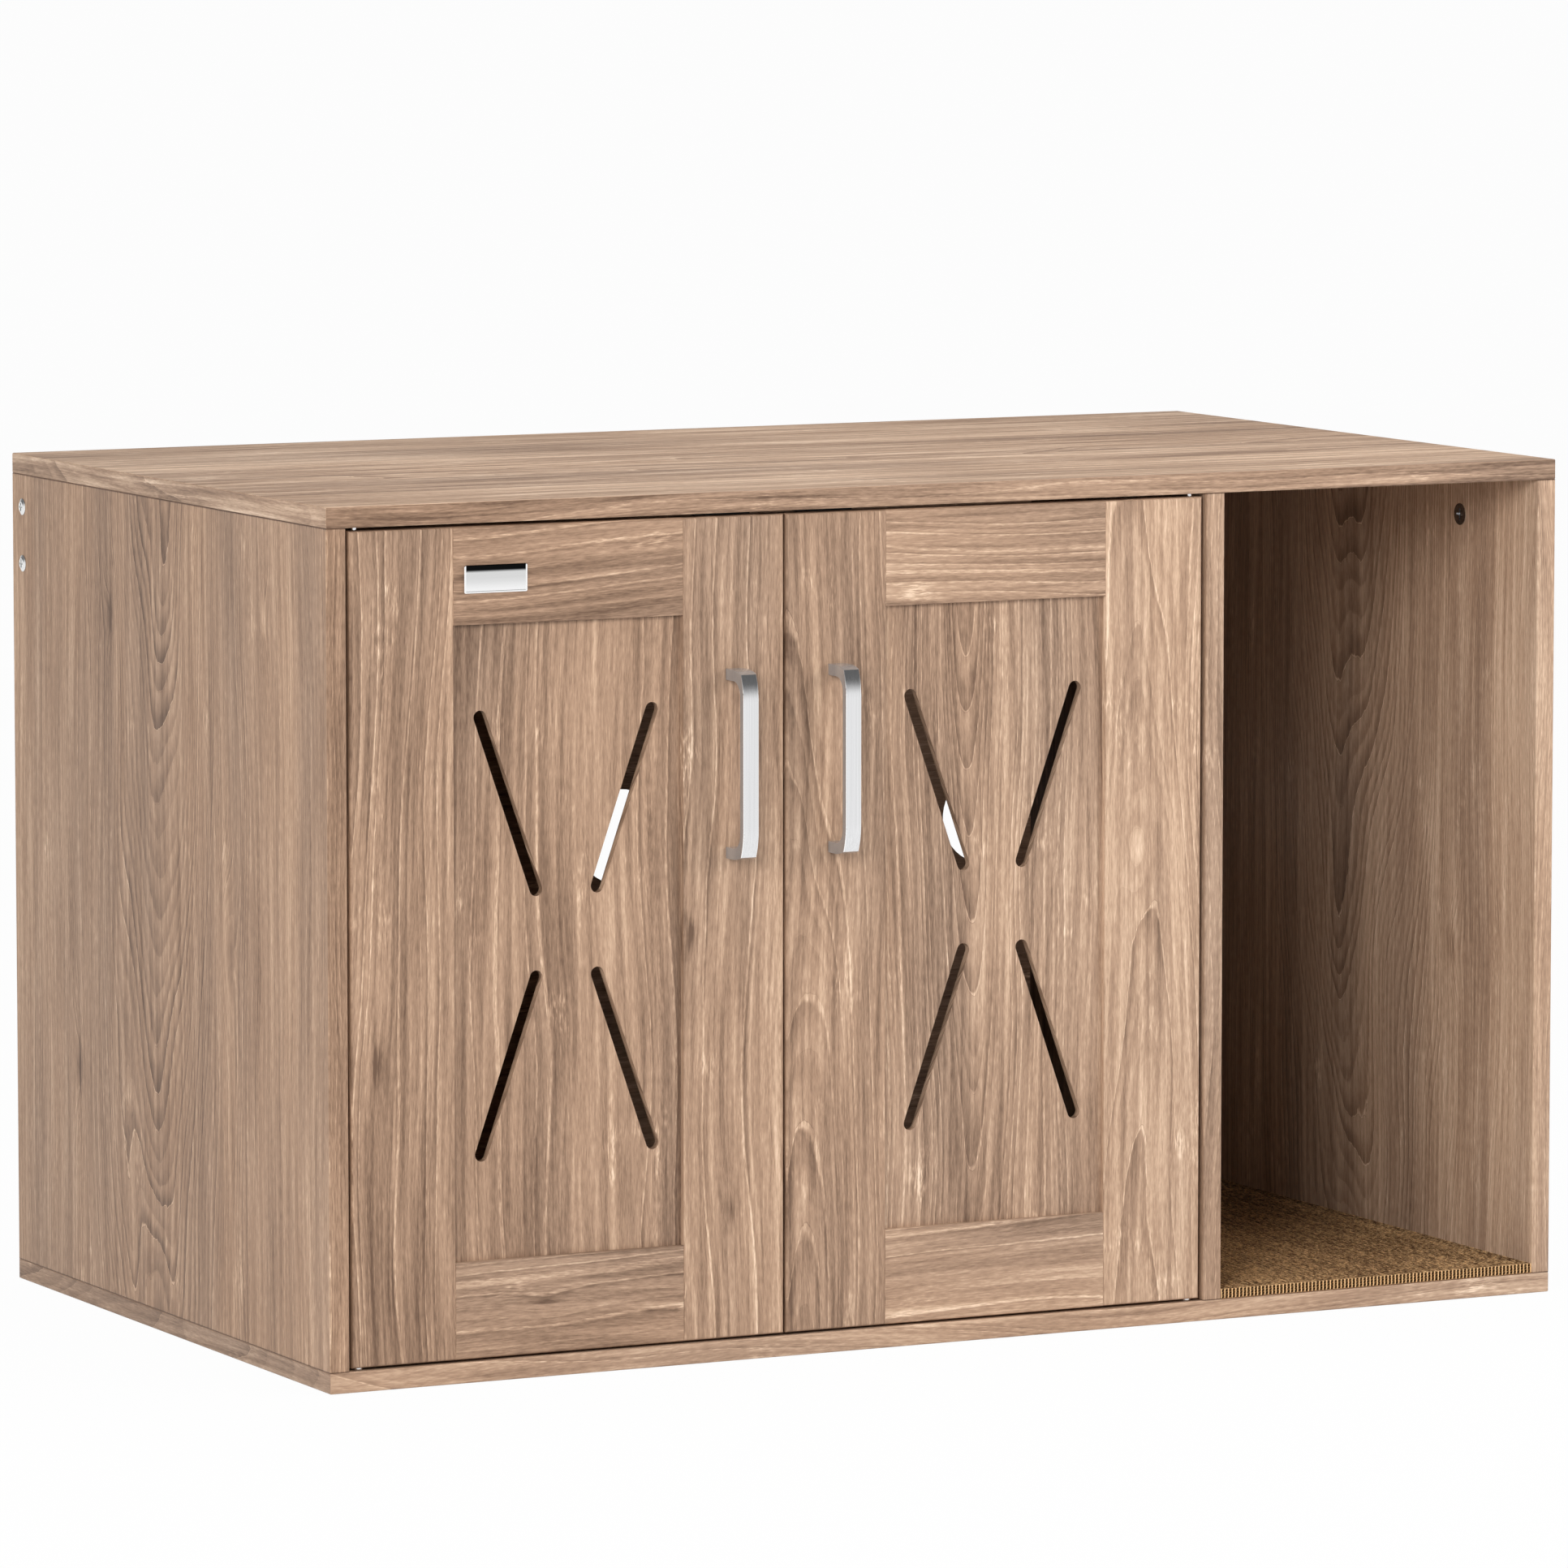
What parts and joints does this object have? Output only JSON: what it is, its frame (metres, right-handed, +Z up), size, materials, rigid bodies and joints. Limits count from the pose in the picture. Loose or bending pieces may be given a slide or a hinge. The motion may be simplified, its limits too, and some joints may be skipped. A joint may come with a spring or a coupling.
{
  "type": "cat litter box cabinet",
  "caption": "Low wood-look cabinet that hides a cat litter tray behind framed, slotted doors, with an open side bay floored by a corrugated scratch pad as the cat's way in.",
  "frame": {"origin": "Centre of the base panel's underside, where the cabinet stands on the floor.", "axes": "+X to the right seen from the front, along the width, toward the open bay; +Y to the back, doors facing -Y; +Z up."},
  "size_m": [1.0028, 0.6035, 0.626],
  "materials": {
    "wood_board": "matt wood-grain foil",
    "wood_door": "matt wood-grain foil",
    "wood_back": "printed fibreboard",
    "dowel_wood": "bare fluted beech",
    "zinc": "zinc plated",
    "steel": "bright plated",
    "chrome": "polished",
    "handle_metal": "satin chrome",
    "magnet": "bare ferrite",
    "black_plastic": "moulded",
    "corrugated_board": "open corrugated edges"
  },
  "bodies": {
    "case": {"top_panel": "wood_board", "bottom_panel": "wood_board", "left_side_panel": "wood_board", "right_side_panel": "wood_board", "divider_panel": "wood_board", "back_rail": "wood_board", "back_panel": "wood_back", "cam_locks": "zinc", "cam_bolts": "steel", "case_dowels": "dowel_wood", "base_screws": "steel", "rail_bolts": "zinc", "rail_barrel_nuts": "zinc", "hinge_bushes": "black_plastic", "catch_housings": "black_plastic", "catch_magnets": "magnet", "catch_screws": "steel"},
    "left_door": {"left_door_outer_stile": "wood_door", "left_door_inner_stile": "wood_door", "left_door_top_rail": "wood_door", "left_door_bottom_rail": "wood_door", "left_door_centre_panel": "wood_door", "left_door_dowels": "dowel_wood", "left_door_hinge_pins": "chrome", "left_door_handle": "handle_metal", "left_door_handle_screws": "steel", "left_door_strike_plate": "steel", "left_door_strike_screw": "steel"},
    "right_door": {"right_door_outer_stile": "wood_door", "right_door_inner_stile": "wood_door", "right_door_top_rail": "wood_door", "right_door_bottom_rail": "wood_door", "right_door_centre_panel": "wood_door", "right_door_dowels": "dowel_wood", "right_door_hinge_pins": "chrome", "right_door_handle": "handle_metal", "right_door_handle_screws": "steel", "right_door_strike_plate": "steel", "right_door_strike_screw": "steel"},
    "scratch_pad": {"scratch_pad": "corrugated_board"}
  },
  "joints": [
    {"name": "left_door_hinge", "type": "hinge", "parent": "case", "child": "left_door", "pos_m": [-0.475, -0.2795, 0.313], "axis": [0, 0, -1], "range_deg": [0, 102]},
    {"name": "right_door_hinge", "type": "hinge", "parent": "case", "child": "right_door", "pos_m": [0.193, -0.2795, 0.313], "axis": [0, 0, 1], "range_deg": [0, 92]},
    {"name": "pad_slide", "type": "slide", "parent": "case", "child": "scratch_pad", "axis": [0, -1, 0], "range_m": [0, 0.6]}
  ]
}
